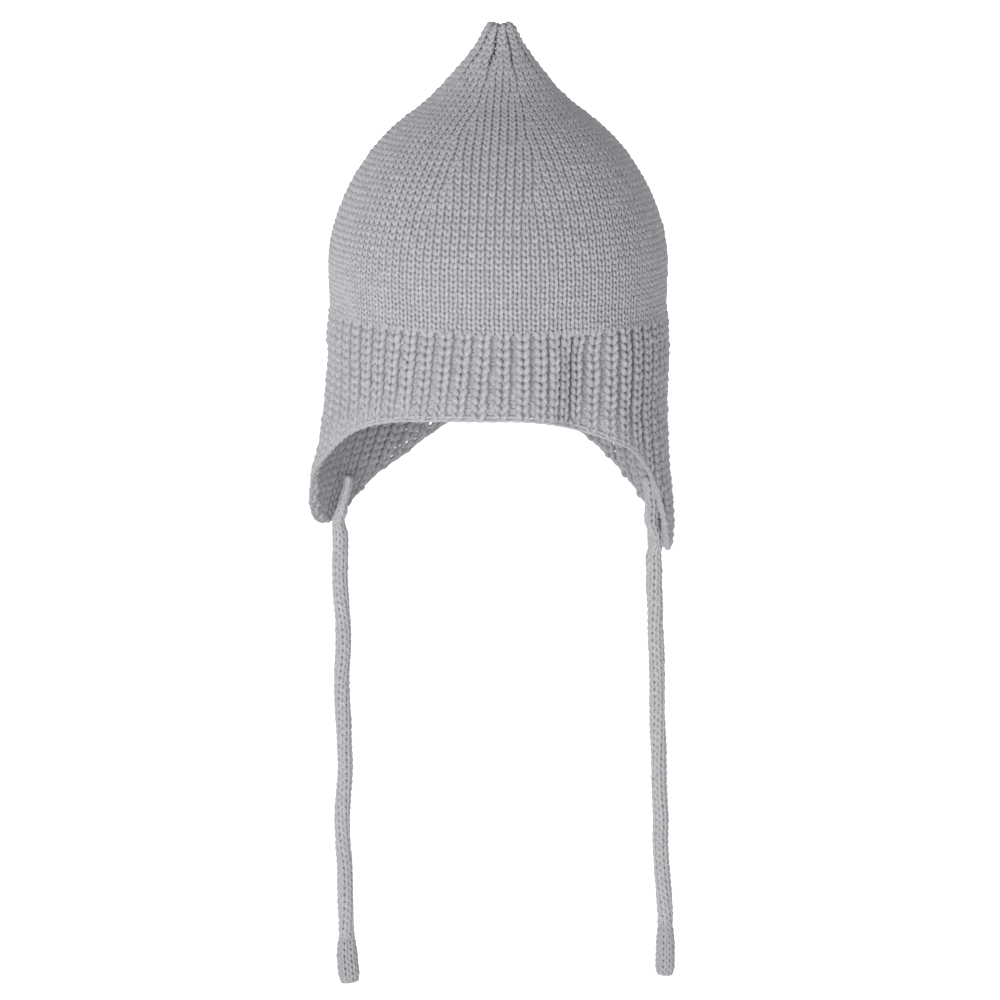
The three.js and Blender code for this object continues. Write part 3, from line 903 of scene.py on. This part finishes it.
def runs_of(stitches):
    """Stitches as runs without a gap, taken round past the back if they join there."""
    runs = []
    for stitch in stitches:
        if runs and stitch == runs[-1][-1] + 1:
            runs[-1].append(stitch)
        else:
            runs.append([stitch])
    if len(runs) > 1 and runs[0][0] == 0 and runs[-1][-1] == rib_stitches - 1:
        last = runs.pop()
        runs[0] = [stitch - rib_stitches for stitch in last] + runs[0]
    return runs


rib_material = wool_yarn("wool_yarn_rib", "#C9C9CF", 4.6)
rib_draw = np.random.default_rng(41)
# Rows from this one on belong to the flaps' pieces.
BAND_ROWS = 12
band_tubes = []
flap_tubes = {"right": [], "left": []}
for row in range(int(stitch_rows.max())):
    present = [int(stitch) for stitch in np.flatnonzero(stitch_rows > row)]
    if len(present) == rib_stitches:
        band_tubes.append(rib_strand(np.arange(rib_stitches), row, True, rib_draw))
        continue
    for run in runs_of(present):
        strand = rib_strand(np.array(run), row, False, rib_draw)
        if row < BAND_ROWS:
            band_tubes.append(strand)
        else:
            flap_tubes["right" if np.mean(run) < RIBS else "left"].append(strand)

# The yarn's fuzz closes the gaps between the stitches over the brow and on the flaps, for so many
# ribs to each side of the front. It follows the ribs a little, and is raised at the wearer's right.
FUZZ_RIBS = 18
FUZZ_PER_RIB = 8
FUZZ_DEPTH = 1.5
FUZZ_INSET = 1.5
FUZZ_WAVE = 0.5
FUZZ_FURROW = 0.75
FUZZ_FLATNESS = 0.35
FUZZ_FLAT_REACH = 12
FUZZ_RAISED = 0.4
FUZZ_RAISED_ANGLES = [-60, -45]
fuzz_ribs = RIBS / 2 + np.arange(-FUZZ_RIBS, FUZZ_RIBS + 0.1, 1 / FUZZ_PER_RIB)
fuzz_angles = rib_angle(fuzz_ribs)
fuzz_share = np.linspace(0, 1, 24)[:, None]
fuzz_top = -FUZZ_INSET - JOIN_TILT * np.sin(np.radians(fuzz_angles))
fuzz_foot = hem_height(fuzz_angles) + FUZZ_INSET
fuzz_height = fuzz_top + (fuzz_foot - fuzz_top) * fuzz_share
fuzz_turn = fuzz_angles + lean_of(fuzz_angles, fuzz_height)
fuzz_wave = np.cos(2 * np.pi * np.arange(len(fuzz_angles)) / FUZZ_PER_RIB)
fuzz_clear = np.clip((fuzz_height - fuzz_foot) / FUZZ_FLAT_REACH, 0, 1)
fuzz_flat = FUZZ_FLATNESS + (1 - FUZZ_FLATNESS) * fuzz_clear
fuzz_raised = FUZZ_RAISED * np.interp(fuzz_angles, FUZZ_RAISED_ANGLES, [1, 0])
fuzz_depth = -FUZZ_DEPTH + (FUZZ_WAVE * fuzz_wave - FUZZ_FURROW) * fuzz_flat + fuzz_raised
fuzz_out = facing_of(band_point, fuzz_turn, fuzz_height)
fuzz_point = band_point(fuzz_turn, fuzz_height) + fuzz_out * fuzz_depth[..., None]
band_tubes.append(fuzz_sheet(fuzz_point))
band_piece = yarn_piece("knitted_band", band_tubes, rib_material)
flap_pieces = [yarn_piece("knitted_flap_" + side, tubes, rib_material)
               for side, tubes in flap_tubes.items()]
for rib_piece in [band_piece] + flap_pieces:
    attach(rib_piece, "root")
    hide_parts("ribbed_band")

# Lower edge. Two strands of the band's yarn, twisted round each other as the stitches are cast
# off, bind the ribs all the way round the brow, the flaps and the back. They are broader at the
# foot of the wearer's left flap.
EDGE_TWIST = 4.8
EDGE_STRAND = 1.15
EDGE_OVER_HEM = 0.9
EDGE_DEPTH = 1.5
EDGE_SAMPLES = 14
EDGE_SWING_OUT = 0.35
EDGE_SWING_DOWN = 0.25
EDGE_BROAD_ANGLE = 90
EDGE_BROAD_REACH = 11
EDGE_BROADER = 0.9
fine_angle = np.linspace(-180, 180, 3001)
edge_height = hem_height(fine_angle) + EDGE_OVER_HEM
edge_out = facing_of(band_point, fine_angle, edge_height)
edge_line = band_point(fine_angle, edge_height) - edge_out * EDGE_DEPTH
edge_reach = reach_of(edge_line)
edge_turns = round(edge_reach[-1] / EDGE_TWIST / 2)
edge_count = edge_turns * EDGE_SAMPLES
edge_steps = np.linspace(0, edge_reach[-1], edge_count, endpoint=False)
edge_centre = read_line(edge_steps, edge_reach, edge_line)
edge_facing = unit(read_line(edge_steps, edge_reach, edge_out))
edge_heading = unit(np.roll(edge_centre, -1, 0) - np.roll(edge_centre, 1, 0))
edge_down = np.cross(edge_facing, edge_heading)
edge_angles = np.interp(edge_steps, edge_reach, fine_angle)
broader = EDGE_BROADER * np.exp(-((edge_angles - EDGE_BROAD_ANGLE) / EDGE_BROAD_REACH) ** 2)
edge_radius = EDGE_STRAND / 2 * (1 + broader)
edge_tubes = []
for strand in range(2):
    turn = 2 * np.pi * edge_turns * np.arange(edge_count) / edge_count + math.pi * strand
    swing = EDGE_SWING_OUT * np.cos(turn)[:, None] * edge_facing
    swing = swing + EDGE_SWING_DOWN * np.sin(turn)[:, None] * edge_down
    edge_tubes.append(tube_along(edge_centre + swing, edge_facing + 0.01, edge_radius, True, 6))
# A third strand runs straight behind the last row of stitches and fills it.
BEHIND_OVER_HEM = 2.2
BEHIND_DEPTH = 1.9
BEHIND_RADIUS = 0.95
behind_angle = fine_angle[:-1:3]
behind_height = hem_height(behind_angle) + BEHIND_OVER_HEM
behind_out = facing_of(band_point, behind_angle, behind_height)
behind = band_point(behind_angle, behind_height) - behind_out * BEHIND_DEPTH
edge_tubes.append(tube_along(behind, behind_out, np.full(len(behind), BEHIND_RADIUS), True, 6))
edge_piece = yarn_piece("cast_off_edge", edge_tubes, rib_material)
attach(edge_piece, "root")
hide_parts("ribbed_band")

# Floor: a wide board far below the hat, pale grey in its own colour, which glows white as painted
# light. The glow lights the hat from below and meets the white room behind without a line. It is
# painted faint under the hat and weaker towards the hat's left, as painted shade.
FLOOR_HEIGHT = -1.2
FLOOR_RADIUS = 8
bpy.ops.mesh.primitive_circle_add(vertices=96, radius=FLOOR_RADIUS, fill_type="NGON",
                                  location=(0, 0, FLOOR_HEIGHT))
floor = bpy.context.object
floor.name = "floor"
board = bpy.data.materials.new("floor_board_painted_glow")
board.use_nodes = True
board_tree = board.node_tree
board_tree.nodes.clear()
board_place = add_node(board_tree, "ShaderNodeTexCoord")
off_middle = add_node(board_tree, "ShaderNodeVectorMath", {"operation": "LENGTH"},
                      links={"Vector": board_place.outputs["Object"]})
# Painted glow: faint within 0.6 m of the middle, full beyond 2.4 m, and dimmed towards the hat's
# left.
lit = ranged(board_tree, off_middle.outputs["Value"], 0.6, 2.4, 0.05, 1.0, "SMOOTHSTEP")
board_parts = add_node(board_tree, "ShaderNodeSeparateXYZ",
                       links={"Vector": board_place.outputs["Object"]})
to_left = ranged(board_tree, board_parts.outputs["X"], 0.6, 3.0, 1.0, 0.55, "SMOOTHSTEP")
board_glow = compute(board_tree, "MULTIPLY", lit, to_left)
board_surface = add_node(board_tree, "ShaderNodeBsdfPrincipled",
                         inputs={"Base Color": colour("#B0B0B0"), "Roughness": 0.9,
                                 "Emission Color": (1, 1, 1, 1)},
                         links={"Emission Strength": board_glow})
add_node(board_tree, "ShaderNodeOutputMaterial", links={"Surface": board_surface.outputs["BSDF"]})
floor.data.materials.append(board)

# Light: a white room that is bright behind the hat and dimmer overhead, in front and to both
# sides, and a broad soft lamp in front, a little towards the hat's right.
bpy.context.scene.view_settings.view_transform = "Standard"
world = bpy.data.worlds.new("white_room")
bpy.context.scene.world = world
world.use_nodes = True
sky = world.node_tree
sky.nodes.clear()
direction = add_node(sky, "ShaderNodeTexCoord")
split = add_node(sky, "ShaderNodeSeparateXYZ", links={"Vector": direction.outputs["Generated"]})
# An axis, the stretch of it over which the room's brightness changes, and that at its two ends.
ROOM_FADES = [
    ("X", 0.2, 0.95, 1.0, 0.55),
    ("X", -0.95, -0.2, 0.44, 1.0),
    ("Y", -0.3, 0.8, 0.72, 1.9),
    ("Z", 0.1, 0.6, 1.0, 0.35),
]
brightness = 1.0
for axis, *fade in ROOM_FADES:
    brightness = compute(sky, "MULTIPLY", brightness,
                         ranged(sky, split.outputs[axis], *fade, "SMOOTHSTEP"))
glow = add_node(sky, "ShaderNodeBackground", inputs={"Color": (1, 1, 1, 1)},
                links={"Strength": brightness})
add_node(sky, "ShaderNodeOutputWorld", links={"Surface": glow.outputs["Background"]})

# The lamp faces the hat's middle.
LAMP_PLACE = Vector((-0.38, -1.8, -0.05))
LAMP_SIZE = 0.9
LAMP_POWER = 14.5
lamp_data = bpy.data.lights.new("front_lamp", "AREA")
lamp_data.size = LAMP_SIZE
lamp_data.energy = LAMP_POWER
lamp = bpy.data.objects.new("front_lamp", lamp_data)
bpy.context.scene.collection.objects.link(lamp)
lamp.location = LAMP_PLACE
lamp.rotation_euler = LAMP_PLACE.to_track_quat("Z", "Y").to_euler()
